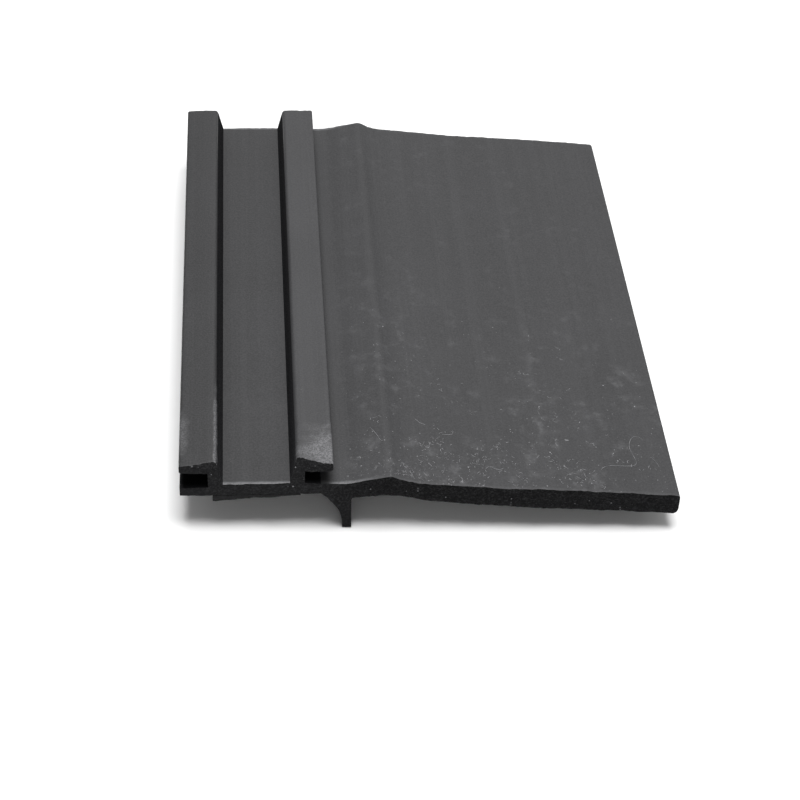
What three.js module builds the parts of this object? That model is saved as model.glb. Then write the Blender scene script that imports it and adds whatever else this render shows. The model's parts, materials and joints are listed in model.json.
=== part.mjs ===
// Wiper threshold strip: a cut length of one extruded rubber section with a strip of mounting tape.
//
// The section lies in the XZ plane and runs along Y. X is 0 on the centreline of the channel, Z is 0 on the
// face that sticks to the sill, and Y is 0 at mid length. From left to right the section is a hooked rail,
// an open channel, a second hooked rail, a shoulder with a locating fin under it, and a wide wiper.
//
// The rubber bends at the roots of both hooks, at the fin and at four lines across the wiper. Each bending
// line is a knuckle: a round end on the moving zone, turning in a round hollow of the zone that carries it.
import * as THREE from "three";

const LENGTH = 118;
const KNUCKLE_GAP = 0.3;
const ARC_STEPS = 16;

const TAPE = { width: 15.9, thickness: 0.8 };

// Heights of the rubber section are measured up from its underside.
const BASE = { leftEdge: -13.85, rightEdge: 13.85, thickness: 2.7, leftLedge: 2.0, cornerRadius: 0.6 };
const RAIL = { foot: 6.05, shoulder: 7.25, slotBack: 8.75, tip: 13.85 };
const HOOK = { under: 5.3, top: 7.35, edgeRadius: 0.4 };

const FIN = { bend: [16.15, -4.6], half: 1.05, tipLeft: 15.6, tipRight: 17.36, tip: -8.64 };
const GUSSET = { start: 11.6, pull: [14.2, -2.0] };

const SHOULDER_DIP = [16.4, 2.3];
const ROOT_BEND = { at: [19.5, 0.97], half: 2.03 };
const NECK_BEND = { at: [28.2, 0.1], half: 1.95 };
const CREST = { x: 24.2, top: 3.9, under: -0.67 };

// The blade hangs from the neck in three leaves. It droops more at the neck than further out.
const BLADE = { half: 2.25, thickening: 4.2, leafLength: 16.8, tipLength: 16.4 };
const DROOP_DEGREES = { inner: 6.5, outer: 4.4 };
const TIP_RADIUS = { top: 0.7, under: 1.4 };

const SOFT_RUBBER = { color: 0x17181b, roughness: 0.62, metalness: 0 };
const BODY_RUBBER = { color: 0x1b1b1d, roughness: 0.58, metalness: 0 };
const TAPE_FOAM = { color: 0x101011, roughness: 0.9, metalness: 0 };

// How far a hollow of the gap's extra radius stands back from the centre of the round end that it holds.
function standBack(half) {
  return Math.sqrt((half + KNUCKLE_GAP) ** 2 - half ** 2);
}

// A section outline drawn in X and Z, run out to the strip's whole length along Y.
function runAlongY(shape) {
  const options = { depth: LENGTH, bevelEnabled: false, curveSegments: ARC_STEPS };
  const geometry = new THREE.ExtrudeGeometry(shape, options);
  const across = new THREE.Vector3(1, 0, 0);
  const up = new THREE.Vector3(0, 0, 1);
  const back = new THREE.Vector3(0, -1, 0);
  geometry.applyMatrix4(new THREE.Matrix4().makeBasis(across, up, back));
  return geometry.translate(0, LENGTH / 2, 0);
}

function zone(name, shape, look) {
  const mesh = new THREE.Mesh(runAlongY(shape), new THREE.MeshStandardMaterial(look));
  mesh.name = name;
  return mesh;
}

function polygon(points) {
  return new THREE.Shape(points.map(([x, z]) => new THREE.Vector2(x, z)));
}

// The same outline on the other side of the channel, drawn the same way round.
function mirrored(shape) {
  const points = shape.getPoints(ARC_STEPS).map((p) => new THREE.Vector2(-p.x, p.y));
  return new THREE.Shape(points.reverse());
}

// A rectangle from one corner to the opposite one.
function rectangle([left, low], [right, high]) {
  return polygon([[left, low], [right, low], [right, high], [left, high]]);
}

function mountingTape() {
  const half = TAPE.width / 2;
  return zone("mounting_tape", rectangle([-half, -TAPE.thickness], [half, 0]), TAPE_FOAM);
}

// The floor of the channel, and the ledge outside each rail.
function baseZones() {
  const { leftEdge, rightEdge, thickness, leftLedge, cornerRadius: r } = BASE;
  const { foot, slotBack: back } = RAIL;
  const ledge = new THREE.Shape();
  ledge.moveTo(leftEdge + r, 0);
  ledge.lineTo(-back, 0);
  ledge.lineTo(-back, leftLedge);
  ledge.lineTo(leftEdge, leftLedge);
  ledge.lineTo(leftEdge, r);
  ledge.absarc(leftEdge + r, r, r, Math.PI, Math.PI * 1.5, false);
  return [
    zone("left_ledge", ledge, BODY_RUBBER),
    zone("channel_floor", rectangle([-foot, 0], [foot, thickness]), BODY_RUBBER),
    zone("right_ledge", rectangle([back, 0], [rightEdge, thickness]), BODY_RUBBER),
  ];
}

// A hook's bending line: the middle of its thickness, just outside the back wall of the slot.
function hookBend() {
  const half = (HOOK.top - HOOK.under) / 2;
  return { x: -RAIL.slotBack - standBack(half), z: HOOK.under + half, half };
}

// The upright of the left rail, from the underside up, hollowed at its top for the hook's round end.
function webOutline() {
  const { foot, shoulder, slotBack } = RAIL;
  const { under, top, edgeRadius: r } = HOOK;
  const { x, z, half } = hookBend();
  const reach = Math.atan2(half, standBack(half));
  const web = new THREE.Shape();
  web.moveTo(-slotBack, 0);
  web.lineTo(-foot, 0);
  web.lineTo(-foot, BASE.thickness);
  web.lineTo(-shoulder, top - r);
  web.quadraticCurveTo(-shoulder, top, -shoulder - r, top);
  web.lineTo(-slotBack, top);
  web.absarc(x, z, half + KNUCKLE_GAP, reach, -reach, true);
  web.lineTo(-slotBack, under);
  return web;
}

function hookOutline() {
  const { tip } = RAIL;
  const { under, top, edgeRadius: r } = HOOK;
  const { x, z, half } = hookBend();
  const hook = new THREE.Shape();
  hook.moveTo(-tip + r, under);
  hook.lineTo(x, under);
  hook.absarc(x, z, half, -Math.PI / 2, Math.PI / 2, false);
  hook.lineTo(-tip + r, top);
  hook.quadraticCurveTo(-tip, top, -tip, top - r);
  hook.lineTo(-tip, under + r);
  hook.quadraticCurveTo(-tip, under, -tip + r, under);
  return hook;
}

function railZones() {
  return [
    zone("left_web", webOutline(), BODY_RUBBER),
    zone("right_web", mirrored(webOutline()), BODY_RUBBER),
    zone("left_hook", hookOutline(), BODY_RUBBER),
    zone("right_hook", mirrored(hookOutline()), BODY_RUBBER),
  ];
}

// The gusset under the shoulder, and the thin fin that bends at its lower end.
function finZones() {
  const [x, z] = FIN.bend;
  const back = standBack(FIN.half);
  const reach = Math.atan2(back, FIN.half);
  const gusset = new THREE.Shape();
  gusset.moveTo(GUSSET.start, 0);
  gusset.quadraticCurveTo(...GUSSET.pull, x - FIN.half, z + back);
  gusset.absarc(x, z, FIN.half + KNUCKLE_GAP, Math.PI - reach, reach, true);
  gusset.lineTo(x + FIN.half, 0);

  const fin = new THREE.Shape();
  fin.moveTo(FIN.tipLeft, FIN.tip);
  fin.lineTo(FIN.tipRight, FIN.tip);
  fin.lineTo(x + FIN.half, z);
  fin.absarc(x, z, FIN.half, 0, Math.PI, false);
  return [zone("fin_gusset", gusset, BODY_RUBBER), zone("locating_fin", fin, SOFT_RUBBER)];
}

// The shoulder is the fixed start of the wiper, over the fin.
function wiperShoulder() {
  const [x, z] = ROOT_BEND.at;
  const { half } = ROOT_BEND;
  const back = standBack(half);
  const reach = Math.atan2(half, back);
  const finRight = FIN.bend[0] + FIN.half;
  const shoulder = new THREE.Shape();
  shoulder.moveTo(BASE.rightEdge, 0);
  shoulder.lineTo(finRight, 0);
  shoulder.lineTo(finRight, z - half);
  shoulder.lineTo(x - back, z - half);
  shoulder.absarc(x, z, half + KNUCKLE_GAP, Math.PI + reach, Math.PI - reach, true);
  shoulder.quadraticCurveTo(...SHOULDER_DIP, BASE.rightEdge, BASE.thickness);
  return zone("wiper_shoulder", shoulder, SOFT_RUBBER);
}

// The arched root between the shoulder and the neck, thickest at the crest.
function wiperRoot() {
  const [x0, z0] = ROOT_BEND.at;
  const [x1, z1] = NECK_BEND.at;
  const back = standBack(NECK_BEND.half);
  const reach = Math.atan2(NECK_BEND.half, back);
  const root = new THREE.Shape();
  root.moveTo(x0, z0 - ROOT_BEND.half);
  root.quadraticCurveTo(CREST.x, CREST.under, x1 - back, z1 - NECK_BEND.half);
  root.absarc(x1, z1, NECK_BEND.half + KNUCKLE_GAP, Math.PI + reach, Math.PI - reach, true);
  root.lineTo(CREST.x + 0.5, CREST.top);
  root.lineTo(CREST.x - 0.5, CREST.top);
  root.lineTo(x0, z0 + ROOT_BEND.half);
  root.absarc(x0, z0, ROOT_BEND.half, Math.PI / 2, Math.PI * 1.5, false);
  return zone("wiper_root", root, SOFT_RUBBER);
}

// One leaf of the blade, in its own frame: a round end at the start and a hollow at the end. The first leaf
// starts at the neck's thickness and comes up to the blade's.
function leafOutline(startHalf) {
  const { half, thickening, leafLength: end } = BLADE;
  const back = standBack(half);
  const reach = Math.atan2(half, back);
  const leaf = new THREE.Shape();
  leaf.moveTo(0, -startHalf);
  leaf.lineTo(thickening, -half);
  leaf.lineTo(end - back, -half);
  leaf.absarc(end, 0, half + KNUCKLE_GAP, Math.PI + reach, Math.PI - reach, true);
  leaf.lineTo(thickening, half);
  leaf.lineTo(0, startHalf);
  leaf.absarc(0, 0, startHalf, Math.PI / 2, Math.PI * 1.5, false);
  return leaf;
}

function tipLeafOutline() {
  const { half, tipLength: tip } = BLADE;
  const { top, under } = TIP_RADIUS;
  const leaf = new THREE.Shape();
  leaf.moveTo(0, -half);
  leaf.lineTo(tip - under, -half);
  leaf.absarc(tip - under, under - half, under, -Math.PI / 2, 0, false);
  leaf.lineTo(tip, half - top);
  leaf.absarc(tip - top, half - top, top, 0, Math.PI / 2, false);
  leaf.lineTo(0, half);
  leaf.absarc(0, 0, half, Math.PI / 2, Math.PI * 1.5, false);
  return leaf;
}

// A leaf's own frame, turned down by some degrees from the frame that carries it.
function leafFrame(x, z, droopDegrees) {
  const frame = new THREE.Group();
  frame.position.set(x, 0, z);
  frame.rotation.y = THREE.MathUtils.degToRad(droopDegrees);
  return frame;
}

function bladeLeaves() {
  const { inner: innerDroop, outer: outerDroop } = DROOP_DEGREES;
  const inner = leafFrame(...NECK_BEND.at, innerDroop);
  const middle = leafFrame(BLADE.leafLength, 0, outerDroop - innerDroop);
  const tip = leafFrame(BLADE.leafLength, 0, 0);
  inner.add(zone("blade_inner", leafOutline(NECK_BEND.half), SOFT_RUBBER), middle);
  middle.add(zone("blade_middle", leafOutline(BLADE.half), SOFT_RUBBER), tip);
  tip.add(zone("blade_tip", tipLeafOutline(), SOFT_RUBBER));
  return inner;
}

const strip = new THREE.Group();
strip.position.z = TAPE.thickness;
strip.add(mountingTape(), ...baseZones(), ...railZones(), ...finZones());
strip.add(wiperShoulder(), wiperRoot(), bladeLeaves());

export default strip;
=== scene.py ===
import json
import math
import random

import bmesh
import bpy
from bpy.props import FloatProperty, FloatVectorProperty, IntProperty, PointerProperty
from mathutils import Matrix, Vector


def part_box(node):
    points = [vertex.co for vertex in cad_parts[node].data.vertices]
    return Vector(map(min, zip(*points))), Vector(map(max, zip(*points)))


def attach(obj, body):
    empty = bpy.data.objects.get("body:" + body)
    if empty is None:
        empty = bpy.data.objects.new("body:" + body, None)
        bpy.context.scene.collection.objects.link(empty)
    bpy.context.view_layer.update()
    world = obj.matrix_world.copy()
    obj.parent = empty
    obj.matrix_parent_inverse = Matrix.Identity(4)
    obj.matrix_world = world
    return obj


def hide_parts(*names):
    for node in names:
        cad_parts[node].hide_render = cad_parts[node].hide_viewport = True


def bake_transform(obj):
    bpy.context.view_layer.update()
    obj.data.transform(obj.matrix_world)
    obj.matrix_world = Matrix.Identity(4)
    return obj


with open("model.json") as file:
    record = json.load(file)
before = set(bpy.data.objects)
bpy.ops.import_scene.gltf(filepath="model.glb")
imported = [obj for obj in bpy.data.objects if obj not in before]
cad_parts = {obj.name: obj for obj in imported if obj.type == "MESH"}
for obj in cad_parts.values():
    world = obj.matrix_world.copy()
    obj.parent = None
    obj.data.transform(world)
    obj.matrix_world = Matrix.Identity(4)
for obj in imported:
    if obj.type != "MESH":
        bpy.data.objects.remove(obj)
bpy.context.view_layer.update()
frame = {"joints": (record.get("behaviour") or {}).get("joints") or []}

bl_info = {
    "name": "Wiper threshold strip",
    "version": (1, 0, 0),
    "blender": (4, 5, 0),
    "location": "View3D > Sidebar > Threshold strip",
    "description": "Builds a cut length of rubber wiper threshold strip on its packed frame",
    "category": "Object",
}

# Places that come from the frame. X runs across the section, Y along the strip, Z up.
MM = 0.001
FLOOR_LOW, FLOOR_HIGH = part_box("channel_floor")
FOOT = FLOOR_HIGH.x
UNDERSIDE = FLOOR_LOW.z
FLOOR_TOP = FLOOR_HIGH.z
FRONT, BACK = FLOOR_LOW.y, FLOOR_HIGH.y
LEFT_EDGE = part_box("left_ledge")[0].x
LEFT_LEDGE_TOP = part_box("left_ledge")[1].z
SLOT_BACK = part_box("right_web")[1].x
HOOK_LOW, HOOK_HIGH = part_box("right_hook")
FIN_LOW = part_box("locating_fin")[0]
FIN_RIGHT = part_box("fin_gusset")[1].x
GUSSET_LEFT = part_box("fin_gusset")[0].x
TAPE_LOW, TAPE_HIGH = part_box("mounting_tape")
SEAM_CLEAR = 0.2 * MM
WIPER_START = FIN_RIGHT + SEAM_CLEAR
TIP_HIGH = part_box("blade_tip")[1]
SPACING = 0.6 * MM
NEAR = 1e-6
ROUGH_DEPTH = 3 * MM
SMOOTH_ANGLE = math.radians(38)

# The slots of a rubber piece's materials, and how much the two kinds of skin shine.
SKIN, CUT_END, MATT = range(3)
SKIN_SHINE = 0.48
MATT_SHINE = 0.0


def joint_place(name):
    """Where a joint's axis crosses the section, as X and Z."""
    x, _, z = next(j["pos_m"] for j in frame["joints"] if j["name"] == name)
    return Vector((x, z))


ROOT_LINE = joint_place("wiper_root_flex")
NECK_LINE = joint_place("wiper_neck_flex")
INNER_LINE = joint_place("blade_inner_flex")
OUTER_LINE = joint_place("blade_outer_flex")


# ---- Sizes and colours that a user would change ------------------------------------------------

def length(name, description, millimetres):
    return FloatProperty(
        name=name, description=description, default=millimetres * MM, subtype="DISTANCE", unit="LENGTH",
        precision=5,
    )


def share(name, description, default, soft_max=1.0):
    return FloatProperty(name=name, description=description, default=default, min=0, soft_max=soft_max)


def power(name, description, watts):
    return FloatProperty(name=name, description=description, default=watts, unit="POWER")


def colour(name, description, default):
    return FloatVectorProperty(
        name=name, description=description, default=default, subtype="COLOR", size=3, min=0, max=1
    )


class StripSizes(bpy.types.PropertyGroup):
    crest_height: length("Crest height", "Height of the wiper's crest over the rubber's underside", 3.9)
    web_lean: length("Web lean", "How far each web leans away from the channel at its top", 1.2)
    edge_radius: length("Edge radius", "Rounding of the hooks' long edges", 0.45)
    web_radius: length("Web radius", "Rounding of the webs' top corners over the channel", 0.66)
    tip_radius_under: length("Tip radius under", "Rounding of the wiper's lower tip edge", 1.4)
    tip_radius_top: length("Tip radius top", "Rounding of the wiper's upper tip edge", 0.6)
    cut_edge: length("Cut edge", "Width of the worn corner round each cut end", 0.14)
    cut_ripple: length("Cut ripple", "Unevenness that the knife left in the cut ends", 0.5)
    cut_raggedness: length("Cut raggedness", "Raggedness of the outline at the cut ends", 0.22)
    left_set_back: length("Left set-back", "How far the left rail's inner corner is cut back", 1.2)
    right_set_back: length("Right set-back", "How far the right rail's inner corner is cut back", 2.1)
    tape_drag: length("Tape drag", "How far the knife dragged down the tape's left corner", 0.75)
    tape_pinch: length("Tape pinch", "How much the tape's right corner is pressed thin", 0.45)
    fibre_radius: length("Fibre radius", "Half the thickness of a lint fibre", 0.034)
    fibre_seed: IntProperty(name="Fibre seed", description="Which scatter of short fibres is laid", default=4)


class StripLooks(bpy.types.PropertyGroup):
    rubber: colour("Rubber", "Colour of the extruded skin", (0.0100, 0.0100, 0.0108))
    worn: colour("Dusty rubber", "Colour of the skin under a film of dust", (0.032, 0.032, 0.034))
    # The cut-rubber colour also paints shade inside the rails' slots.
    cut: colour("Cut rubber", "Colour of the knife-cut ends", (0.0028, 0.0028, 0.0031))
    torn: colour("Torn rubber", "Colour of the raised grain in the cut ends", (0.018, 0.018, 0.019))
    # The bloom colour also paints highlights on the left cap's inner edge and along the cut ends' upper
    # corner.
    bloom: colour("Bloom", "Colour of the chalky bloom where the rubber was rubbed", (0.16, 0.16, 0.167))
    dust: colour("Dust", "Colour of dust specks", (0.36, 0.36, 0.37))
    lint: colour("Lint", "Colour of lint fibres", (0.30, 0.30, 0.31))
    tape: colour("Tape", "Colour of the foam tape", (0.010, 0.010, 0.0105))
    # Painted shade: the colour that darkens the inside of the foam tape's pores.
    tape_pore_shade: colour("Tape pores", "Colour inside the foam tape's pores", (0.004, 0.004, 0.004))


class StageLooks(bpy.types.PropertyGroup):
    floor: colour("Floor", "Colour of the floor", (0.90, 0.90, 0.90))
    key_power: power("Key light", "Power of the light overhead", 11.0)
    sheen_power: power("Sheen light", "Power of the light behind", 3.7)
    fill_power: power("Fill light", "Power of the light in front", 1.8)
    sky: share("Sky", "Brightness of the light from all round", 0.2, 3.0)
    lens: FloatProperty(name="Lens", description="Focal length of the camera", default=90, unit="CAMERA")


# ---- Modelling by hand: picking, drawing out and running along ---------------------------------

def edited():
    return bmesh.from_edit_mesh(bpy.context.edit_object.data)


def pick(kind, test):
    """Selects the vertices, edges or faces that pass the test, and nothing else."""
    bpy.ops.mesh.select_mode(type=kind)
    bpy.ops.mesh.select_all(action="DESELECT")
    mesh = edited()
    parts = {"VERT": mesh.verts, "EDGE": mesh.edges, "FACE": mesh.faces}[kind]
    found = [part for part in parts if test(part)]
    for part in found:
        part.select_set(True)
    mesh.select_flush_mode()
    bmesh.update_edit_mesh(bpy.context.edit_object.data)


def at(vert, place):
    return abs(vert.co.x - place[0]) < NEAR and abs(vert.co.z - place[1]) < NEAR


def middle(part):
    """The middle of an edge or a face."""
    return sum((v.co for v in part.verts), Vector()) / len(part.verts)


def move(x=0.0, y=0.0, z=0.0):
    bpy.ops.transform.translate(value=(x, y, z))


def draw_out(x=0.0, y=0.0, z=0.0):
    bpy.ops.mesh.extrude_region_move(TRANSFORM_OT_translate={"value": (x, y, z)})


def begin_section(name, first):
    """A new object in edit mode that holds one edge at the front: a plane cut down to one of its sides."""
    bpy.ops.object.select_all(action="DESELECT")
    bpy.ops.mesh.primitive_plane_add(size=2, location=(0, FRONT, 0), rotation=(math.pi / 2, 0, 0))
    piece = bpy.context.object
    piece.name = piece.data.name = name
    bpy.ops.object.transform_apply()
    bpy.ops.object.mode_set(mode="EDIT")
    pick("VERT", lambda v: v.co.x > 0)
    bpy.ops.mesh.delete(type="VERT")
    low, high = first
    pick("VERT", lambda v: v.co.z < -0.5)
    move(1 + low.x, 0, 1 + low.y)
    pick("VERT", lambda v: v.co.z > 0.5)
    move(1 + high.x, 0, high.y - 1)


def rung(x_low, z_low, x_high, z_high):
    """One line across the section, from its low point to its high point."""
    return Vector((x_low, z_low)), Vector((x_high, z_high))


def upright(x, z_low, z_high):
    return rung(x, z_low, x, z_high)


def chain(*corners):
    """Closely spaced rungs along straight stretches between the given ones."""
    rungs = [corners[0]]
    for last in corners[1:]:
        first = rungs[-1]
        reach = max((last[0] - first[0]).length, (last[1] - first[1]).length)
        count = max(1, math.ceil(reach / SPACING - 0.01))
        for i in range(1, count + 1):
            rungs.append((first[0].lerp(last[0], i / count), first[1].lerp(last[1], i / count)))
    return rungs


def draw_section(rungs):
    """Draws the section out from its first rung to each next one."""
    for old, new in zip(rungs, rungs[1:]):
        pick("VERT", lambda v: at(v, old[0]) or at(v, old[1]))
        step = ((new[0] + new[1]) - (old[0] + old[1])) / 2
        draw_out(x=step.x, z=step.y)
        for was, to in zip(old, new):
            place = was + step
            if (to - place).length > NEAR / 10:
                pick("VERT", lambda v: at(v, place))
                move(x=to.x - place.x, z=to.y - place.y)


def split_edges(count, test):
    """Splits the chosen edges of the flat section evenly. The test is given both end points."""
    pick("EDGE", lambda e: test(e.verts[0].co, e.verts[1].co))
    bpy.ops.mesh.subdivide(number_cuts=count)


def run_along():
    """Runs the flat section out along the strip, with short steps at both cut ends."""
    near_end = [0.2, 0.3, 0.5, 0.8, 1.2, 2.0, 3.0]
    count = 22
    between = ((BACK - FRONT) / MM - 2 * sum(near_end)) / count
    bpy.ops.mesh.select_mode(type="FACE")
    bpy.ops.mesh.select_all(action="SELECT")
    for step in near_end + [between] * count + near_end[::-1]:
        draw_out(y=step * MM)
    bpy.ops.mesh.select_all(action="SELECT")
    bpy.ops.mesh.normals_make_consistent(inside=False)


def round_long_edge(x, z, radius, segments=4):
    """Rounds one edge that runs along the strip."""
    pick("EDGE", lambda e: all(at(v, (x, z)) for v in e.verts))
    bpy.ops.mesh.bevel(offset=radius, segments=segments, affect="EDGES", clamp_overlap=True)


def slice_off(co, normal, chosen=lambda place: True):
    """Cuts away what lies on the normal's side of a plane, among the chosen faces, and closes the cut."""
    pick("FACE", lambda f: chosen(middle(f)))
    bpy.ops.mesh.bisect(plane_co=co, plane_no=normal, use_fill=True, clear_outer=True)


def wear_cut_edges(width, inside=lambda place: False):
    """Breaks the corner round both cut ends, apart from corners that lie inside the rubber."""
    edited().normal_update()

    def is_corner(edge):
        cut_faces = [f for f in edge.link_faces if abs(f.normal.y) > 0.5]
        return len(edge.link_faces) == 2 and len(cut_faces) == 1 and not inside(middle(edge))
    pick("EDGE", is_corner)
    bpy.ops.mesh.bevel(offset=width, segments=2, affect="EDGES", clamp_overlap=True)


def leave_edit():
    bpy.ops.object.mode_set(mode="OBJECT")
    return bpy.context.object


def rough_cut(piece, sizes):
    """Makes the cut ends uneven, as a hand knife leaves them. All pieces share the same unevenness."""
    weights = "cut ends"
    group = piece.vertex_groups.new(name=weights)
    for vert in piece.data.vertices:
        depth = min(vert.co.y - FRONT, BACK - vert.co.y)
        group.add([vert.index], max(0.0, 1 - depth / ROUGH_DEPTH) ** 2, "REPLACE")
    for label, direction, size, strength in (
        ("knife sweep", "Y", 5 * MM, sizes.cut_ripple),
        ("knife tear", "Z", 0.9 * MM, sizes.cut_raggedness),
        ("knife chatter", "Y", 0.7 * MM, sizes.cut_raggedness),
    ):
        texture = bpy.data.textures.get(label) or bpy.data.textures.new(label, "CLOUDS")
        texture.noise_scale = size
        texture.noise_depth = 1
        modifier = piece.modifiers.new(label, "DISPLACE")
        modifier.texture = texture
        modifier.texture_coords = "LOCAL"
        modifier.direction = direction
        modifier.strength = strength
        modifier.mid_level = 0.5
        modifier.vertex_group = weights
        bpy.ops.object.modifier_apply(modifier=modifier.name)
    piece.vertex_groups.clear()


def surface_of(face):
    """The slot of a face's material. Walls, undersides and the insides of the rails' slots are matt."""
    if abs(face.normal.y) > 0.6:
        return CUT_END
    x, _, z = face.center
    in_left_slot = x < -SLOT_BACK + NEAR and z < HOOK_LOW.z
    in_right_slot = SLOT_BACK - NEAR < x < SLOT_BACK + 2.8 * MM and z < HOOK_LOW.z
    return MATT if face.normal.z < 0.5 or in_left_slot or in_right_slot else SKIN


def finish_rubber(piece):
    """Gives a piece its materials in the order of their slots, and smooths it."""
    looks = bpy.context.scene.strip_looks
    piece.data.materials.clear()
    piece.data.materials.append(skin_material(looks, "rubber skin", SKIN_SHINE))
    piece.data.materials.append(cut_material(looks))
    piece.data.materials.append(skin_material(looks, "matt rubber", MATT_SHINE))
    for face in piece.data.polygons:
        face.material_index = surface_of(face)
    bpy.ops.object.select_all(action="DESELECT")
    piece.select_set(True)
    bpy.context.view_layer.objects.active = piece
    bpy.ops.object.shade_smooth_by_angle(angle=SMOOTH_ANGLE)


# ---- The section's own curves -------------------------------------------------------------------

def in_frame(points):
    """Points in millimetres, with heights over the rubber's underside, as places in the frame."""
    return [(x * MM, UNDERSIDE + z * MM) for x, z in points]


def through(points, x):
    """The height at x of a smooth curve through the points."""
    i = 1
    while i < len(points) - 1 and points[i][0] < x:
        i += 1
    (x1, z1), (x2, z2) = points[i - 1], points[i]
    before, after = points[max(i - 2, 0)], points[min(i + 1, len(points) - 1)]
    rise = (z2 - before[1]) / (x2 - before[0]) * (x2 - x1)
    fall = (after[1] - z1) / (after[0] - x1) * (x2 - x1)
    t = (x - x1) / (x2 - x1)
    return (
        z1 * (2 * t**3 - 3 * t**2 + 1) + rise * (t**3 - 2 * t**2 + t)
        + z2 * (3 * t**2 - 2 * t**3) + fall * (t**3 - t**2)
    )


def wiper_top(x):
    """The upper side of the shoulder, the crest and the blade."""
    crest = bpy.context.scene.strip_sizes.crest_height / MM
    return through(in_frame([
        (8.75, 2.75), (13.9, 2.36), (16.9, 2.42), (20.4, 3.2), (23.0, crest - 0.16), (24.3, crest),
        (25.7, crest - 0.68), (27.7, 2.42), (31.8, 1.8), (45.0, 0.4), (63.0, -0.85), (78.2, -2.3),
    ]), x)


def wiper_under(x):
    """The underside of the wiper, from the fin to the tip."""
    return through(in_frame([
        (17.0, -1.25), (20.9, -0.92), (24.2, -0.72), (27.3, -1.3), (31.8, -2.35), (45.0, -4.0),
        (63.0, -5.55), (78.2, -6.75),
    ]), x)


def round_off(x, radius):
    """How far a rounded edge at the wiper's tip has turned away from the flat side at x."""
    past = max(0.0, x - (TIP_HIGH.x - radius))
    return radius - math.sqrt(max(0.0, radius**2 - past**2))


def gusset_side(z):
    """The gusset's curved left side, which runs down into the fin, as X at a height."""
    points = in_frame([
        (11.6, 0.0), (12.75, -1.2), (14.0, -2.7), (14.95, -4.3), (15.45, -6.2), (15.65, -8.64),
    ])
    return through([(-height, x) for x, height in points], -z)


class Leaf:
    """A stretch of the wiper at one of the frame's bend lines, from one body to the next."""

    def __init__(self, name, start, end, carrier, body, line, reach):
        self.name, self.start, self.end = name, start, end
        self.carrier, self.body = carrier, body
        self.line, self.reach = line, reach

    def bend(self, piece):
        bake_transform(piece)


ARCH_END = ROOT_LINE.x + 3.2 * MM
INNER_END = (NECK_LINE.x + INNER_LINE.x) / 2
MIDDLE_END = (INNER_LINE.x + OUTER_LINE.x) / 2
LEAVES = (
    Leaf("wiper_arch", WIPER_START, ARCH_END, "base", "wiper_root", ROOT_LINE, 2.3 * MM),
    Leaf("blade_leaf_inner", ARCH_END, INNER_END, "wiper_root", "blade_inner", NECK_LINE, 5.2 * MM),
    Leaf("blade_leaf_middle", INNER_END, MIDDLE_END, "blade_inner", "blade_middle", INNER_LINE, 7.6 * MM),
    Leaf("blade_leaf_tip", MIDDLE_END, TIP_HIGH.x, "blade_middle", "blade_tip", OUTER_LINE, 7.6 * MM),
)


# ---- Materials ------------------------------------------------------------------------------------

class Net:
    """Short ways to add and join nodes in one tree."""

    def __init__(self, tree):
        self.tree = tree

    def add(self, kind, links=(), **settings):
        node = self.tree.nodes.new(kind)
        for name, value in settings.items():
            setattr(node, name, value)
        for socket, source in dict(links).items():
            self.set(node.inputs[socket], source)
        return node

    def set(self, socket, source):
        if isinstance(source, bpy.types.NodeSocket):
            self.tree.links.new(source, socket)
        else:
            socket.default_value = source

    def math(self, operation, a, b=0.0, clamp=False):
        return self.add("ShaderNodeMath", {0: a, 1: b}, operation=operation, use_clamp=clamp).outputs[0]

    def plus(self, a, b, clamp=False):
        return self.math("ADD", a, b, clamp)

    def times(self, a, b):
        return self.math("MULTIPLY", a, b)

    def parts(self, vector):
        """The X, Y and Z of a vector."""
        return self.add("ShaderNodeSeparateXYZ", {0: vector}).outputs

    def cells(self, vector, scale):
        """Scattered cells, with the distance from each one's middle and a random colour for each."""
        return self.add("ShaderNodeTexVoronoi", {"Vector": vector, "Scale": scale}, feature="F1").outputs

    def band(self, value, low, high, new_low=0.0, new_high=1.0):
        """The value from low to high, eased onto the new range."""
        links = {"Value": value, "From Min": low, "From Max": high, "To Min": new_low, "To Max": new_high}
        return self.add("ShaderNodeMapRange", links, interpolation_type="SMOOTHSTEP").outputs["Result"]

    def noise(self, vector, scale, detail=2.0, roughness=0.5, distortion=0.0):
        links = {
            "Vector": vector, "Scale": scale, "Detail": detail, "Roughness": roughness,
            "Distortion": distortion,
        }
        return self.add("ShaderNodeTexNoise", links).outputs["Fac"]

    def stretch(self, vector, scale, place=(0, 0, 0)):
        return self.add("ShaderNodeMapping", {"Vector": vector, "Scale": scale, "Location": place}).outputs[0]

    def mix(self, part, first, second):
        node = self.add("ShaderNodeMix", data_type="RGBA")
        self.set(node.inputs[0], part)
        self.set(node.inputs[6], first)
        self.set(node.inputs[7], second)
        return node.outputs[2]

    def group(self, tree, links=()):
        node = self.add("ShaderNodeGroup", node_tree=tree)
        for socket, source in dict(links).items():
            self.set(node.inputs[socket], source)
        return node.outputs


def node_group(name, inputs, outputs, build):
    """A node group that is built the first time it is asked for."""
    if name in bpy.data.node_groups:
        return bpy.data.node_groups[name]
    tree = bpy.data.node_groups.new(name, "ShaderNodeTree")
    for label, kind, value in inputs:
        socket = tree.interface.new_socket(label, in_out="INPUT", socket_type=kind)
        if value is not None:
            socket.default_value = value
    for label, kind in outputs:
        tree.interface.new_socket(label, in_out="OUTPUT", socket_type=kind)
    net = Net(tree)
    start = net.add("NodeGroupInput").outputs
    end = net.add("NodeGroupOutput").inputs
    for label, source in build(net, start).items():
        net.set(end[label], source)
    return tree


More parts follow.
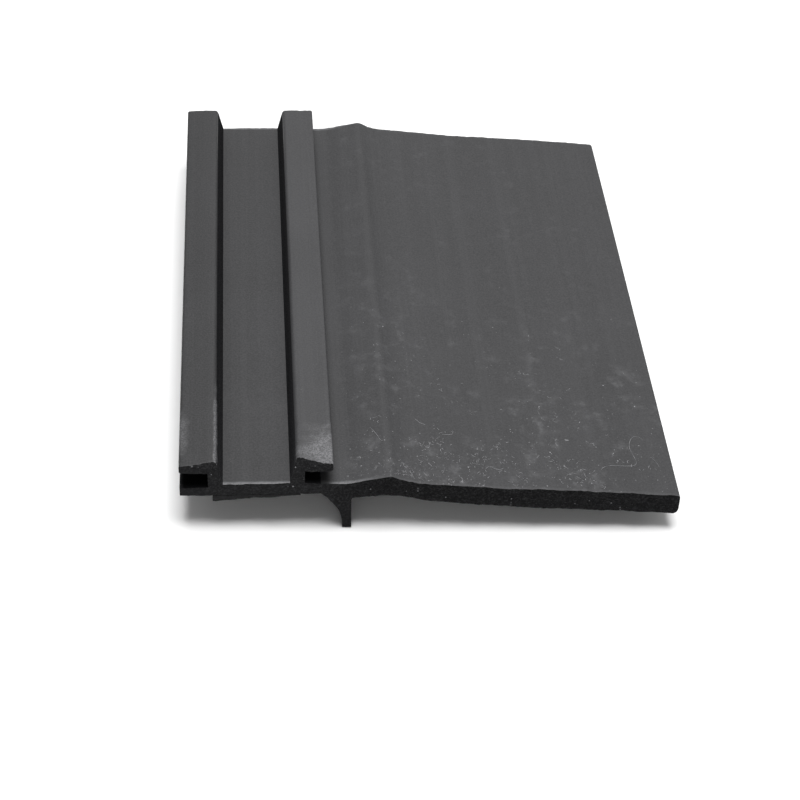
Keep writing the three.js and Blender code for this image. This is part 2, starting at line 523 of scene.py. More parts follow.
def extrusion_lines():
    """Fine lines that the die left along the strip, and the slow unevenness of its skin."""
    def build(net, start):
        place = start["Vector"]
        fine = net.noise(net.stretch(place, (2600, 10, 2600)), 1, 2)
        broad = net.noise(net.stretch(place, (420, 4, 420)), 1, 2)
        grain = net.noise(place, 2600, 2, 0.6)
        pebble = net.noise(place, 240, 3, 0.6)
        height = net.plus(net.times(fine, 0.35), net.times(broad, 0.6))
        height = net.plus(height, net.times(grain, 0.45))
        height = net.plus(height, net.times(pebble, 0.8))
        lines = net.plus(net.times(fine, 0.4), net.times(broad, 0.6))
        mottle = net.noise(place, 3200, 2, 0.75)
        return {"Height": height, "Lines": lines, "Grain": grain, "Mottle": mottle}
    return node_group(
        "Extrusion lines", [("Vector", "NodeSocketVector", None)],
        [(label, "NodeSocketFloat") for label in ("Height", "Lines", "Grain", "Mottle")], build,
    )


def settled_dust():
    """Masks for the dust that lies on upward faces: a film, soft blotches, specks and curled lint."""
    def build(net, start):
        place = start["Vector"]
        axes = net.parts(place)
        upward = net.parts(start["Normal"])["Z"]
        lying = net.band(upward, 0.35, 0.9)
        toward_end = net.band(axes["Y"], start["End"], start["Clean"], 1.0, 0.0)
        film = net.noise(place, 46, 4, 0.62)
        film = net.times(net.band(film, 0.35, 0.72), lying)
        patches = net.band(net.noise(place, 105, 2, 0.5), 0.4, 0.62)
        blotches = net.band(net.noise(place, 360, 3, 0.6), 0.48, 0.85)
        midway = net.band(axes["Y"], start["End"], start["Clean"], 1.0, 0.3)
        blotches = net.times(blotches, net.times(patches, midway))
        tatter = net.add("ShaderNodeTexNoise", {"Vector": place, "Scale": 2600.0, "Detail": 1.0})
        tatter_reach = (0.7 * MM, 0.7 * MM, 0.7 * MM)
        shift = net.add(
            "ShaderNodeVectorMath", {0: tatter.outputs["Color"], 1: tatter_reach}, operation="MULTIPLY"
        ).outputs[0]
        torn = net.add("ShaderNodeVectorMath", {0: place, 1: shift}, operation="ADD").outputs[0]
        specks = net.cells(torn, 1900.0)
        odd = net.add("ShaderNodeSeparateColor", {0: specks["Color"]}).outputs
        size = net.band(odd[0], 0.2, 1.0, 0.07, 0.25)
        speck = net.band(specks["Distance"], net.times(size, 0.5), size, 1.0, 0.0)
        by_end = net.band(axes["Y"], start["End"], net.plus(start["End"], 14 * MM), 0.6, 0.0)
        sparse = net.plus(net.times(toward_end, 0.4), by_end)
        sparse = net.times(sparse, net.plus(net.times(patches, 0.9), 0.25))
        speck = net.times(speck, net.math("LESS_THAN", odd[1], sparse))
        speck = net.times(speck, net.band(odd[2], 0.0, 1.0, 0.15, 1.0))
        exposed = net.band(axes["X"], 13 * MM, 22 * MM, 0.12, 1.0)
        lying = net.times(lying, exposed)
        curls = net.noise(place, 330, 1, 0.5, 1.6)
        curl = net.math("ABSOLUTE", net.math("SUBTRACT", curls, 0.5))
        curl = net.band(curl, 0.004, 0.018, 1.0, 0.0)
        broken = net.band(net.noise(place, 520, 2, 0.6), 0.56, 0.64)
        nests = net.band(net.noise(place, 95, 1, 0.5), 0.56, 0.66)
        curl = net.times(net.times(curl, broken), net.times(nests, toward_end))
        return {
            "Film": film,
            "Blotches": net.times(blotches, lying),
            "Specks": net.times(speck, lying),
            "Lint": net.times(curl, lying),
        }
    return node_group(
        "Settled dust",
        [
            ("Vector", "NodeSocketVector", None), ("Normal", "NodeSocketVector", None),
            ("End", "NodeSocketFloat", FRONT), ("Clean", "NodeSocketFloat", BACK),
        ],
        [(label, "NodeSocketFloat") for label in ("Film", "Blotches", "Specks", "Lint")], build,
    )


def painted_edge_highlight_mask():
    """A mask for painted highlights along the upper corner of the cut ends, in the channel and on the
    shoulder.
    """
    def build(net, start):
        place = start["Vector"]
        axes = net.parts(place)
        upward = net.parts(start["Normal"])["Z"]
        from_front = net.math("SUBTRACT", axes["Y"], FRONT)
        from_back = net.math("SUBTRACT", BACK, axes["Y"])
        depth = net.math("MINIMUM", from_front, from_back)
        wander = net.times(net.math("SUBTRACT", net.noise(place, 260, 2), 0.5), 0.5 * MM)
        near_edge = net.band(net.plus(depth, wander), 0.25 * MM, 0.85 * MM, 1.0, 0.0)
        low_part = net.band(axes["Z"], FLOOR_TOP + 0.6 * MM, FLOOR_TOP + 1.4 * MM, 1.0, 0.0)
        in_channel = net.math("LESS_THAN", net.math("ABSOLUTE", axes["X"]), FOOT)
        on_shoulder = net.band(axes["X"], 12.5 * MM, 14.5 * MM)
        on_shoulder = net.times(on_shoulder, net.band(axes["X"], 16 * MM, 23 * MM, 1.0, 0.12))
        inner_part = net.plus(in_channel, on_shoulder)
        painted_highlight = net.times(near_edge, net.band(net.noise(place, 2400, 2, 0.7), 0.3, 0.55, 0.45, 1.0))
        painted_highlight = net.times(painted_highlight, net.band(upward, 0.3, 0.8))
        return {"Mask": net.times(painted_highlight, net.times(low_part, inner_part))}
    return node_group(
        "Cut edge rub", [("Vector", "NodeSocketVector", None), ("Normal", "NodeSocketVector", None)],
        [("Mask", "NodeSocketFloat")], build,
    )


def rubbed_patch():
    """A mask that fades out from a place, broken up by a fine mottle."""
    def build(net, start):
        away = net.add("ShaderNodeVectorMath", {0: start["Vector"], 1: start["Place"]}, operation="SUBTRACT")
        scaled = net.add("ShaderNodeVectorMath", {0: away.outputs[0], 1: start["Size"]}, operation="DIVIDE")
        reach = net.add("ShaderNodeVectorMath", {0: scaled.outputs[0]}, operation="LENGTH").outputs["Value"]
        mottle = net.noise(start["Vector"], 3300, 2, 0.75)
        cloud = net.noise(start["Vector"], 420, 2, 0.5)
        edge = net.plus(reach, net.times(net.math("SUBTRACT", cloud, 0.5), 0.9))
        inside = net.band(edge, 0.25, 1.0, 1.0, 0.0)
        return {"Mask": net.times(inside, net.band(mottle, 0.38, 0.64, 0.2, 1.0))}
    return node_group(
        "Rubbed patch",
        [(label, "NodeSocketVector", None) for label in ("Vector", "Place", "Size")],
        [("Mask", "NodeSocketFloat")], build,
    )


def new_material(name):
    """A material with its Principled shader, and the object's own coordinates."""
    material = bpy.data.materials.new(name)
    material.use_nodes = True
    net = Net(material.node_tree)
    shader = material.node_tree.nodes["Principled BSDF"]
    place = net.add("ShaderNodeTexCoord").outputs["Object"]
    return material, net, shader, place


def opaque(value):
    return (*value, 1.0)


def skin_material(looks, name, shine):
    """Extruded rubber, finely lined along the strip, with dust and chalky bloom on it, painted highlights on
    the left cap's inner edge and the cut ends' upper corner, and painted shade inside the rails' slots.
    """
    if name in bpy.data.materials:
        return bpy.data.materials[name]
    material, net, shader, place = new_material(name)
    normal = net.add("ShaderNodeNewGeometry").outputs["Normal"]
    lines = net.group(extrusion_lines(), {"Vector": place})
    # Painted highlight along the upper corner of the cut ends, in the bloom colour.
    painted_edge_highlight = net.group(painted_edge_highlight_mask(), {"Vector": place, "Normal": normal})["Mask"]
    dust = net.group(settled_dust(), {
        "Vector": place, "Normal": normal, "End": FRONT + 5 * MM, "Clean": 8 * MM,
    })

    def rubbed(x, depth, across, along):
        """A pale patch on top of a rail, in millimetres, at a depth behind the front cut end."""
        centre = (x * MM, FRONT + depth * MM, HOOK_HIGH.z)
        size = (across * MM, along * MM, 3 * MM)
        return net.group(rubbed_patch(), {"Vector": place, "Place": centre, "Size": size})["Mask"]

    hook_end = rubbed(13.6, 3, 7.5, 9.5)
    outer_edge = rubbed(-13.6, 9, 1.7, 8)
    # Painted highlight along the left cap's rounded inner edge near the front, in the bloom colour.
    left_edge_painted_highlight = rubbed(-7.3, 7, 0.55, 20)
    axes = net.parts(place)
    # Paler towards the right across the section and on raised faces right of the middle, mixed towards the
    # dusty rubber colour.
    paler_by_place = net.band(axes["X"], -14 * MM, 14 * MM, 0.0, 0.32)
    raised = net.band(axes["Z"], HOOK_LOW.z, HOOK_HIGH.z, 0.0, 0.3)
    paler_by_place = net.plus(paler_by_place, net.times(raised, net.band(axes["X"], 0.0, 8 * MM)))
    # Painted shade: the insides of the rails' slots under the hooks are mixed towards the dark cut-rubber
    # colour and made rougher.
    under_hook = net.band(net.math("ABSOLUTE", axes["X"]), FOOT + 1.5 * MM, FOOT + 2.2 * MM)
    under_hook = net.times(under_hook, net.band(axes["X"], 11 * MM, 15 * MM, 1.0, 0.0))
    under_hook = net.times(under_hook, net.band(axes["X"], -13.9 * MM, -13.0 * MM))
    painted_slot_shade = net.times(under_hook, net.math("LESS_THAN", axes["Z"], HOOK_LOW.z + 0.3 * MM))
    painted_slot_shade = net.times(painted_slot_shade, net.math("GREATER_THAN", axes["Z"], UNDERSIDE + 1.4 * MM))
    film = net.times(dust["Film"], 0.3)
    base = net.mix(net.plus(paler_by_place, film, clamp=True), opaque(looks.rubber), opaque(looks.worn))
    base = net.mix(net.band(lines["Lines"], 0.40, 0.68, 0.0, 0.035), base, opaque(looks.bloom))
    base = net.mix(net.band(lines["Mottle"], 0.36, 0.66, 0.0, 0.1), base, opaque(looks.bloom))
    for mask, strength, shade in (
        (dust["Blotches"], 0.42, looks.bloom),
        (hook_end, 0.95, looks.bloom),
        (left_edge_painted_highlight, 0.9, looks.bloom),
        (outer_edge, 0.5, looks.bloom),
        (painted_edge_highlight, 0.7, looks.bloom),
        (dust["Lint"], 0.5, looks.lint),
        (dust["Specks"], 0.8, looks.dust),
        (painted_slot_shade, 0.92, looks.cut),
    ):
        base = net.mix(net.times(mask, strength), base, opaque(shade))
    net.set(shader.inputs["Base Color"], base)
    dull = net.plus(net.band(lines["Grain"], 0.3, 0.7, 0.46, 0.56), net.times(dust["Film"], 0.1))
    dull = net.plus(dull, net.times(hook_end, 0.2))
    dull = net.plus(dull, net.band(axes["X"], -14 * MM, -3 * MM, 0.06, 0.0))
    dull = net.plus(dull, net.band(axes["Y"], FRONT, FRONT + 45 * MM, 0.03, 0.0))
    net.set(shader.inputs["Roughness"], net.plus(dull, net.times(painted_slot_shade, 0.45), clamp=True))
    bump = net.add("ShaderNodeBump", {"Height": lines["Height"], "Strength": 0.35, "Distance": 0.06 * MM})
    net.set(shader.inputs["Normal"], bump.outputs[0])
    shader.inputs["Specular IOR Level"].default_value = shine
    return material


def cut_material(looks):
    """Knife-cut rubber: near black, torn into a coarse grain, with pale filler showing as specks."""
    if "cut rubber" in bpy.data.materials:
        return bpy.data.materials["cut rubber"]
    material, net, shader, place = new_material("cut rubber")
    tear = net.noise(net.stretch(place, (1, 1, 1.4)), 2600, 3, 0.7, 0.4)
    chips = net.noise(place, 3600, 2, 0.6)
    sweep = net.noise(net.stretch(place, (90, 90, 700)), 1, 2)
    filler = net.cells(place, 1500.0)
    odd = net.add("ShaderNodeSeparateColor", {0: filler["Color"]}).outputs
    fleck = net.math("LESS_THAN", filler["Distance"], net.times(odd[0], 0.36))
    fleck = net.times(fleck, net.math("GREATER_THAN", odd[1], 0.78))
    fleck = net.times(fleck, net.band(odd[2], 0.0, 1.0, 0.1, 0.9))
    axes = net.parts(place)
    base = net.mix(net.band(tear, 0.46, 0.66), opaque(looks.cut), opaque(looks.torn))
    base = net.mix(net.band(axes["X"], 10 * MM, 22 * MM, 0.035, 0.0), base, opaque(looks.bloom))
    base = net.mix(fleck, base, opaque(looks.bloom))
    net.set(shader.inputs["Base Color"], base)
    net.set(shader.inputs["Roughness"], net.band(chips, 0.3, 0.7, 0.7, 0.95))
    height = net.plus(tear, net.times(chips, 0.4))
    height = net.plus(height, net.times(sweep, 0.5))
    bump = net.add("ShaderNodeBump", {"Height": height, "Strength": 0.8, "Distance": 0.2 * MM})
    net.set(shader.inputs["Normal"], bump.outputs[0])
    shader.inputs["Specular IOR Level"].default_value = 0.08
    return material


def tape_material(looks):
    """Foam tape: matt black, with fine open pores, painted darker inside as shade."""
    material, net, shader, place = new_material("foam tape")
    cells = net.cells(place, 3200.0)["Distance"]
    mottle = net.noise(place, 900, 3)
    # Painted shade in the pores.
    pore_shade = net.band(cells, 0.15, 0.5, 1.0, 0.0)
    net.set(shader.inputs["Base Color"], net.mix(pore_shade, opaque(looks.tape), opaque(looks.tape_pore_shade)))
    net.set(shader.inputs["Roughness"], net.band(mottle, 0.3, 0.7, 0.82, 0.98))
    bump = net.add("ShaderNodeBump", {"Height": cells, "Strength": 0.6, "Distance": 0.12 * MM})
    net.set(shader.inputs["Normal"], bump.outputs[0])
    shader.inputs["Specular IOR Level"].default_value = 0.2
    return material


def lint_material(looks):
    """Pale textile lint, lighter and darker along a fibre."""
    material, net, shader, place = new_material("lint")
    tone = net.noise(place, 700, 2)
    base = net.mix(net.band(tone, 0.3, 0.7, 0.0, 0.6), opaque(looks.lint), opaque(looks.worn))
    net.set(shader.inputs["Base Color"], base)
    net.set(shader.inputs["Roughness"], net.band(tone, 0.3, 0.7, 0.7, 0.9))
    return material


# ---- Pieces ---------------------------------------------------------------------------------------

def set_back_plane(side, set_back):
    """The knife leaned back over a rail. Gives the plane of that cut as a point and a normal."""
    inner = Vector((side * (SLOT_BACK - 1.5 * MM), FRONT + set_back, HOOK_HIGH.z))
    outer = Vector((side * HOOK_HIGH.x, FRONT - 0.15 * set_back, HOOK_HIGH.z))
    lower = Vector((side * SLOT_BACK, FRONT - 0.02 * set_back, HOOK_LOW.z))
    normal = (outer - inner).cross(lower - inner).normalized()
    return inner, normal if normal.y < 0 else -normal


def set_backs(sizes):
    return {-1: sizes.left_set_back, 1: sizes.right_set_back}


class STRIP_OT_make_channel(bpy.types.Operator):
    """Model the fixed base: the channel floor, both webs, the ledges and the shoulder"""
    bl_idname = "threshold_strip.make_channel"
    bl_label = "Make the channel"

    def execute(self, context):
        sizes = context.scene.strip_sizes
        self.draw(sizes)
        run_along()
        for side in (-1, 1):
            round_long_edge(side * (FOOT + sizes.web_lean), HOOK_HIGH.z, sizes.web_radius, 6)
            co, normal = set_back_plane(side, set_backs(sizes)[side])
            slice_off(co, normal, lambda m: FOOT - NEAR < m.x * side < SLOT_BACK + NEAR
                      and m.z > FLOOR_TOP + 0.5 * MM)
        wear_cut_edges(sizes.cut_edge, self.inside)
        piece = leave_edit()
        rough_cut(piece, sizes)
        finish_rubber(piece)
        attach(piece, "base")
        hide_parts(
            "channel_floor", "left_ledge", "right_ledge", "left_web", "right_web", "wiper_shoulder"
        )
        return {"FINISHED"}

    def inside(self, place):
        """True for the section's lines that meet the hooks, the gusset, the tape or the wiper."""
        beside_hook = abs(abs(place.x) - SLOT_BACK) < NEAR and place.z > HOOK_LOW.z - NEAR
        over_gusset = place.x > GUSSET_LEFT and place.z < UNDERSIDE + NEAR
        return beside_hook or over_gusset or place.x > WIPER_START - NEAR

    def draw(self, sizes):
        first = upright(LEFT_EDGE, UNDERSIDE, LEFT_LEDGE_TOP - 0.1 * MM)
        begin_section("channel_base", first)
        rungs = chain(first, upright(-SLOT_BACK, UNDERSIDE, LEFT_LEDGE_TOP))
        corner = 1.5 * MM
        for x in (SPACING - SLOT_BACK, -FOOT - corner):
            rungs.append(upright(x, UNDERSIDE, FLOOR_TOP))
        rungs += chain(upright(-FOOT, UNDERSIDE, FLOOR_TOP), upright(FOOT, UNDERSIDE, FLOOR_TOP))
        for x in (FOOT + corner, SLOT_BACK - SPACING):
            rungs.append(upright(x, UNDERSIDE, FLOOR_TOP))
        rungs.append(upright(SLOT_BACK, UNDERSIDE, wiper_top(SLOT_BACK)))
        for start, end in ((SLOT_BACK, GUSSET_LEFT), (GUSSET_LEFT, WIPER_START)):
            count = math.ceil((end - start) / SPACING)
            for i in range(1, count + 1):
                x = start + (end - start) * i / count
                rungs.append(upright(x, UNDERSIDE, wiper_top(x)))
        draw_section(rungs)
        for side in (-1, 1):
            self.draw_web(side, sizes)

    def draw_web(self, side, sizes):
        """Draws a web up from the slab, narrowing it on its channel side."""
        third = (HOOK_HIGH.z - HOOK_LOW.z) / 3
        heights = [FLOOR_TOP + 0.7 * MM, FLOOR_TOP + 1.6 * MM]
        heights += [HOOK_LOW.z + third * i for i in range(4)]
        low, high = sorted((side * FOOT, side * SLOT_BACK))
        pick("VERT", lambda v: low - NEAR < v.co.x < high + NEAR and v.co.z > UNDERSIDE + 1 * MM)
        width = SLOT_BACK - FOOT
        for height in heights:
            draw_out(z=0.7 * MM)
            bpy.ops.transform.resize(value=(1, 1, 0), center_override=(0, 0, height))
            rise = (height - FLOOR_TOP) / (HOOK_HIGH.z - FLOOR_TOP)
            narrowed = SLOT_BACK - FOOT - sizes.web_lean * rise
            bpy.ops.transform.resize(value=(narrowed / width, 1, 1), center_override=(side * SLOT_BACK, 0, 0))
            width = narrowed


class STRIP_OT_make_hooks(bpy.types.Operator):
    """Model the two hooks that turn outwards over the slots"""
    bl_idname = "threshold_strip.make_hooks"
    bl_label = "Make the hooks"

    def execute(self, context):
        sizes = context.scene.strip_sizes
        self.make("left_hook", -1, sizes)
        self.make("right_hook", 1, sizes)
        return {"FINISHED"}

    def make(self, body, side, sizes):
        seam = upright(side * SLOT_BACK, HOOK_LOW.z, HOOK_HIGH.z)
        end = side * HOOK_HIGH.x
        end_low, end_high = HOOK_LOW.z + 0.05 * MM, HOOK_HIGH.z - 0.12 * MM
        begin_section(body + "_lip", seam)
        draw_section(chain(seam, upright(end, end_low, end_high)))
        split_edges(2, lambda a, b: abs(a.x - b.x) < NEAR)
        run_along()
        round_long_edge(end, end_high, sizes.edge_radius)
        round_long_edge(end, end_low, sizes.edge_radius)
        slice_off(*set_back_plane(side, set_backs(sizes)[side]))
        wear_cut_edges(sizes.cut_edge, lambda m: abs(abs(m.x) - SLOT_BACK) < NEAR)
        piece = leave_edit()
        rough_cut(piece, sizes)
        finish_rubber(piece)
        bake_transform(piece)
        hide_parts(body)


class STRIP_OT_make_fin(bpy.types.Operator):
    """Model the gusset and the locating fin that runs down from it"""
    bl_idname = "threshold_strip.make_fin"
    bl_label = "Make the fin"

    def execute(self, context):
        sizes = context.scene.strip_sizes
        heights = [UNDERSIDE - depth * MM for depth in (0, 0.6, 1.2)]
        rungs = [rung(gusset_side(z), z, WIPER_START, z) for z in heights]
        below = rungs[-1][0].y
        count = math.ceil((below - FIN_LOW.z) / SPACING)
        flare = 0.12 * MM
        for i in range(1, count + 1):
            z = below + (FIN_LOW.z - below) * i / count
            rungs.append(rung(gusset_side(z), z, FIN_RIGHT + flare * i / count, z))
        begin_section("fin_lip", rungs[0])
        draw_section(rungs)
        steps = math.ceil((WIPER_START - GUSSET_LEFT) / SPACING)
        split_edges(steps - 1, lambda a, b: abs(a.z - b.z) < NEAR)
        run_along()
        wear_cut_edges(sizes.cut_edge, lambda m: m.z > UNDERSIDE - NEAR or m.x > WIPER_START - NEAR)
        piece = leave_edit()
        rough_cut(piece, sizes)
        finish_rubber(piece)
        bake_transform(piece)
        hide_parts("fin_gusset", "locating_fin")
        return {"FINISHED"}


class STRIP_OT_make_wiper(bpy.types.Operator):
    """Model the wiper in one, then cut it into leaves, one for each of the frame's bend lines"""
    bl_idname = "threshold_strip.make_wiper"
    bl_label = "Make the wiper"

    def execute(self, context):
        sizes = context.scene.strip_sizes
        whole = self.make_whole(sizes)
        for leaf in LEAVES:
            piece = self.cut_leaf(whole, leaf.name, leaf.start, leaf.end)
            finish_rubber(piece)
            leaf.bend(piece)
            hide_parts(leaf.body)
        bpy.data.objects.remove(whole)
        return {"FINISHED"}

    def make_whole(self, sizes):
        begin_round = TIP_HIGH.x - sizes.tip_radius_under
        count = math.ceil((begin_round - WIPER_START) / SPACING)
        across = [WIPER_START + (begin_round - WIPER_START) * i / count for i in range(count + 1)]
        for turn in range(10, 91, 10):
            across.append(begin_round + sizes.tip_radius_under * math.sin(math.radians(turn)))
        rungs = []
        for x in across:
            lift = round_off(x, sizes.tip_radius_under)
            drop = round_off(x, sizes.tip_radius_top)
            rungs.append(upright(x, wiper_under(x) + lift, wiper_top(x) - drop))
        begin_section("wiper", rungs[0])
        draw_section(rungs)
        split_edges(3, lambda a, b: abs(a.x - b.x) < NEAR)
        run_along()
        wear_cut_edges(sizes.cut_edge, lambda m: m.x < WIPER_START + NEAR)
        whole = leave_edit()
        rough_cut(whole, sizes)
        return whole

    def cut_leaf(self, whole, name, start, end):
        """A copy of the wiper between two upright cuts. The first and last leaf keep the wiper's own ends."""
        bpy.ops.object.select_all(action="DESELECT")
        whole.select_set(True)
        bpy.context.view_layer.objects.active = whole
        bpy.ops.object.duplicate()
        leaf = bpy.context.object
        leaf.name = leaf.data.name = name
        bpy.ops.object.mode_set(mode="EDIT")
        if start > WIPER_START:
            slice_off((start, 0, 0), (-1, 0, 0))
        if end < TIP_HIGH.x:
            slice_off((end, 0, 0), (1, 0, 0))
        return leave_edit()


class STRIP_OT_make_tape(bpy.types.Operator):
    """Model the foam tape under the channel, with the corner that the knife dragged down"""
    bl_idname = "threshold_strip.make_tape"
    bl_label = "Make the tape"

    def execute(self, context):
        sizes = context.scene.strip_sizes
        inset = 0.02 * MM
        first = upright(TAPE_LOW.x, TAPE_LOW.z, TAPE_HIGH.z - inset)
        begin_section("tape_strip", first)
        draw_section(chain(first, upright(TAPE_HIGH.x, TAPE_LOW.z, TAPE_HIGH.z - inset)))
        run_along()
        pick("VERT", lambda v: v.co.z > TAPE_LOW.z + NEAR)
        bpy.ops.mesh.hide()
        self.shift_corner(TAPE_LOW.x, -sizes.tape_drag, "SHARP", 11 * MM)
        self.shift_corner(TAPE_HIGH.x, sizes.tape_pinch, "SMOOTH", 9 * MM)
        bpy.ops.mesh.reveal()
        wear_cut_edges(sizes.cut_edge / 2)
        piece = leave_edit()
        rough_cut(piece, sizes)
        piece.data.materials.clear()
        piece.data.materials.append(tape_material(context.scene.strip_looks))
        bpy.ops.object.shade_smooth_by_angle(angle=SMOOTH_ANGLE)
        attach(piece, "base")
        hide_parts("mounting_tape")
        return {"FINISHED"}

    def shift_corner(self, x, rise, falloff, reach):
        """Moves one lower corner of the front end up or down, and what is near it by less."""
        pick("VERT", lambda v: at(v, (x, TAPE_LOW.z)) and v.co.y < FRONT + SPACING)
        bpy.ops.transform.translate(
            value=(0, 0, rise), use_proportional_edit=True,
            proportional_edit_falloff=falloff, proportional_size=reach,
        )


class STRIP_OT_lay_lint(bpy.types.Operator):
    """Lay loose lint fibres on the wiper, thickest near the front cut end"""
    bl_idname = "threshold_strip.lay_lint"
    bl_label = "Lay the lint"

    def execute(self, context):
        sizes = context.scene.strip_sizes
        fibres = self.large_fibres() + self.scattered_fibres(random.Random(sizes.fibre_seed))
        looks = context.scene.strip_looks
        material = lint_material(looks)
        for leaf in LEAVES:
            lying = [f for f in fibres if leaf.start <= f[0] * MM < leaf.end]
            if lying:
                piece = self.lay(leaf.name + "_lint", lying, sizes.fibre_radius)
                piece.data.materials.append(material)
                leaf.bend(piece)
        return {"FINISHED"}

    def large_fibres(self):
        """Each fibre starts at X and Y in millimetres with a heading, then follows arcs of length and turn."""
        return [
            (73.4, -43.9, 95, [(1.1, 45), (1.8, 95), (4.4, 50), (2.4, -5), (2.2, -95), (3.4, -6), (2.8, 52)]),
            (74.0, -48.6, -40, [(1.6, -25), (1.4, -10)]),
            (34.8, -45.0, 0, [(1.9, 10), (1.1, 115)]),
            (30.0, -41.1, -34, [(1.0, -24), (0.8, 40), (0.7, -30)]),
            (21.2, -44.8, -58, [(3.6, -14), (1.3, 18)]),
            (43.1, -53.1, -45, [(1.4, 20), (1.3, 60)]),
            (60.3, -30.4, 20, [(1.2, 30)]),
            (56.2, -55.5, 8, [(1.6, 40), (1.2, -30)]),
        ]

    def scattered_fibres(self, chance):
        """Nests of short curled fibres, most of them near the front cut end."""
        fibres = []
        for _ in range(46):
            x = chance.triangular(18.5, 76, 27)
            y = FRONT / MM + 1.2 + min(chance.expovariate(1 / 6.5), 40)
            for _ in range(chance.randint(3, 8)):
                bends = range(chance.randint(1, 2))
                arcs = [(chance.uniform(0.18, 0.55), chance.gauss(0, 60)) for _ in bends]
                place = (x + chance.gauss(0, 1.3), max(y + chance.gauss(0, 0.8), FRONT / MM + 0.8))
                fibres.append((*place, chance.uniform(0, 360), arcs))
        return [f for f in fibres if 18 < f[0] < 76]

    def lay(self, name, fibres, radius):
        """One object that holds the given fibres, each drawn out as a thin four-sided tube."""
        bpy.ops.object.select_all(action="DESELECT")
        bpy.ops.mesh.primitive_circle_add(vertices=4, radius=radius)
        piece = bpy.context.object
        piece.name = piece.data.name = name
        bpy.ops.object.mode_set(mode="EDIT")
        bpy.ops.mesh.delete(type="VERT")
        for x, y, heading, arcs in fibres:
            self.draw_fibre(x * MM, y * MM, math.radians(heading), arcs, radius)
        bpy.ops.mesh.select_all(action="SELECT")
        bpy.ops.mesh.normals_make_consistent(inside=False)
        return leave_edit()

    def draw_fibre(self, x, y, heading, arcs, radius):
        lift = 0.7 * radius
        place = Vector((x, y, wiper_top(x) + lift))
        bpy.ops.mesh.primitive_circle_add(
            vertices=4, radius=radius, fill_type="NGON", location=place,
            rotation=(math.pi / 2, 0, heading - math.pi / 2),
        )
        longest_step = 0.45
        for reach, turn in arcs:
            steps = max(2, round(reach / longest_step))
            for _ in range(steps):
                bend = math.radians(turn) / steps
                bpy.ops.transform.rotate(value=-bend, orient_axis="Z", center_override=place)
                heading += bend
                ahead = place + Vector((math.cos(heading), math.sin(heading), 0)) * (reach * MM / steps)
                ahead.z = wiper_top(ahead.x) + lift
                draw_out(*(ahead - place))
                place = ahead


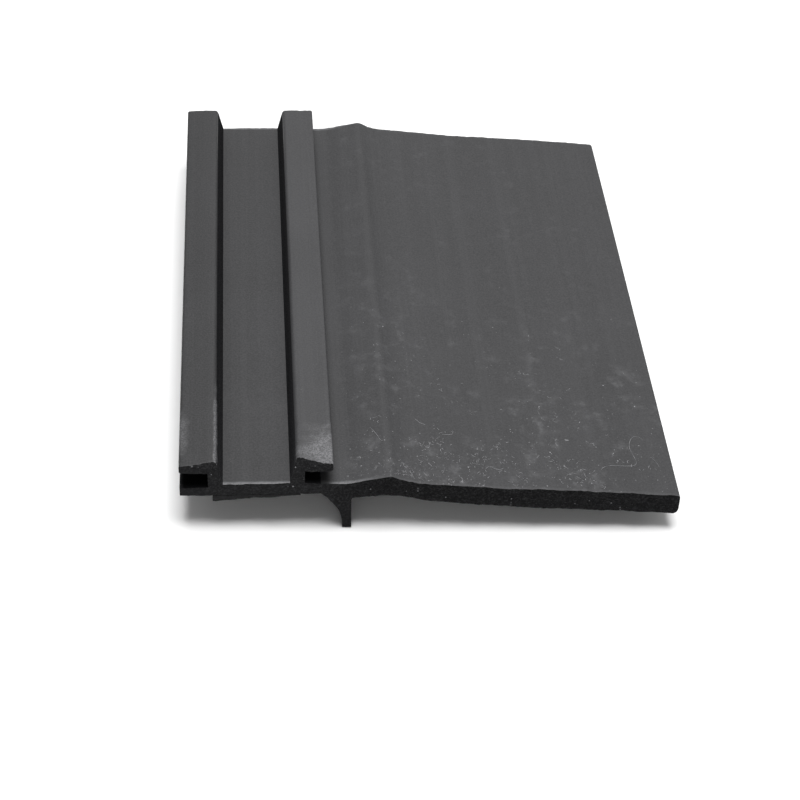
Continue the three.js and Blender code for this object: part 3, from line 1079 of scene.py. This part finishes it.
class STRIP_OT_set_stage(bpy.types.Operator):
    """Set a pale floor under the strip, soft light all round and the camera"""
    bl_idname = "threshold_strip.set_stage"
    bl_label = "Set the stage"

    def execute(self, context):
        looks = context.scene.stage_looks
        self.lay_floor(looks)
        self.light(looks)
        self.place_camera(looks)
        context.scene.view_settings.view_transform = "Standard"
        return {"FINISHED"}

    def lay_floor(self, looks):
        """The strip stands on its fin and its wiper's tip, so the floor leans a little to meet both."""
        fin_foot = Vector((FIN_RIGHT, FIN_LOW.z))
        tip_x = TIP_HIGH.x - 1.5 * MM
        tip_foot = Vector((tip_x, wiper_under(tip_x)))
        lean = math.atan2(fin_foot.y - tip_foot.y, tip_foot.x - fin_foot.x)
        clear = 0.25 * MM
        bpy.ops.object.select_all(action="DESELECT")
        bpy.ops.mesh.primitive_plane_add(
            size=6, location=(fin_foot.x, 0, fin_foot.y - clear), rotation=(0, -lean, 0)
        )
        floor = bpy.context.object
        floor.name = "floor"
        bpy.ops.object.mode_set(mode="EDIT")
        bpy.ops.mesh.subdivide(number_cuts=4)
        bpy.ops.object.mode_set(mode="OBJECT")
        material, net, shader, place = new_material("pale floor")
        tone = net.noise(place, 3, 2)
        darker = (0.8, 0.8, 0.8, 1)
        base = net.mix(net.band(tone, 0.2, 0.8, 0.0, 0.04), opaque(looks.floor), darker)
        net.set(shader.inputs["Base Color"], base)
        net.set(shader.inputs["Roughness"], net.band(tone, 0.2, 0.8, 0.7, 0.8))
        floor.data.materials.append(material)

    def light(self, looks):
        world = bpy.context.scene.world or bpy.data.worlds.new("sky")
        bpy.context.scene.world = world
        world.use_nodes = True
        sky = world.node_tree.nodes["Background"]
        sky.inputs["Color"].default_value = (1, 1, 1, 1)
        sky.inputs["Strength"].default_value = looks.sky
        self.panel("key light", (0.06, -0.1, 0.9), (0.5, 0.5), looks.key_power)
        self.panel("sheen light", (0.28, 0.95, 0.64), (1.7, 0.7), looks.sheen_power)
        self.panel("fill light", (0.03, -0.9, 0.26), (0.9, 0.35), looks.fill_power)

    def panel(self, name, place, size, power):
        """A soft panel that faces the strip."""
        bpy.ops.object.light_add(type="AREA", location=place)
        light = bpy.context.object
        light.name = name
        light.data.shape = "RECTANGLE"
        light.data.size, light.data.size_y = size
        light.data.energy = power
        target = Vector((0.03, 0, 0))
        light.rotation_euler = (target - light.location).to_track_quat("-Z", "Y").to_euler()

    def place_camera(self, looks):
        """A long lens in front of the cut end, looking down on the strip."""
        bpy.ops.object.camera_add(
            location=(-0.47 * MM, -324.74 * MM, 248.81 * MM),
            rotation=(math.radians(49.721), math.radians(-2.048), math.radians(-3.792)),
        )
        camera = bpy.context.object
        camera.data.lens = looks.lens
        camera.data.sensor_width = 36
        camera.data.clip_start = 0.01
        camera.data.dof.use_dof = False
        bpy.context.scene.camera = camera


class STRIP_PT_panel(bpy.types.Panel):
    """The strip's sizes, colours and build steps"""
    bl_label = "Threshold strip"
    bl_idname = "STRIP_PT_panel"
    bl_space_type = "VIEW_3D"
    bl_region_type = "UI"
    bl_category = "Threshold strip"

    def draw(self, context):
        for step in BUILD_STEPS:
            self.layout.operator(step.bl_idname)
        for group in (context.scene.strip_sizes, context.scene.strip_looks, context.scene.stage_looks):
            box = self.layout.box()
            for name in group.__annotations__:
                box.prop(group, name)


BUILD_STEPS = (
    STRIP_OT_make_channel,
    STRIP_OT_make_hooks,
    STRIP_OT_make_fin,
    STRIP_OT_make_wiper,
    STRIP_OT_make_tape,
    STRIP_OT_lay_lint,
    STRIP_OT_set_stage,
)
CLASSES = (StripSizes, StripLooks, StageLooks) + BUILD_STEPS + (STRIP_PT_panel,)


def register():
    for cls in CLASSES:
        bpy.utils.register_class(cls)
    bpy.types.Scene.strip_sizes = PointerProperty(type=StripSizes)
    bpy.types.Scene.strip_looks = PointerProperty(type=StripLooks)
    bpy.types.Scene.stage_looks = PointerProperty(type=StageLooks)


def unregister():
    del bpy.types.Scene.stage_looks
    del bpy.types.Scene.strip_looks
    del bpy.types.Scene.strip_sizes
    for cls in reversed(CLASSES):
        bpy.utils.unregister_class(cls)


def main():
    register()
    bpy.ops.threshold_strip.make_channel()
    bpy.ops.threshold_strip.make_hooks()
    bpy.ops.threshold_strip.make_fin()
    bpy.ops.threshold_strip.make_wiper()
    bpy.ops.threshold_strip.make_tape()
    bpy.ops.threshold_strip.lay_lint()
    bpy.ops.threshold_strip.set_stage()


if __name__ == "__main__":
    main()
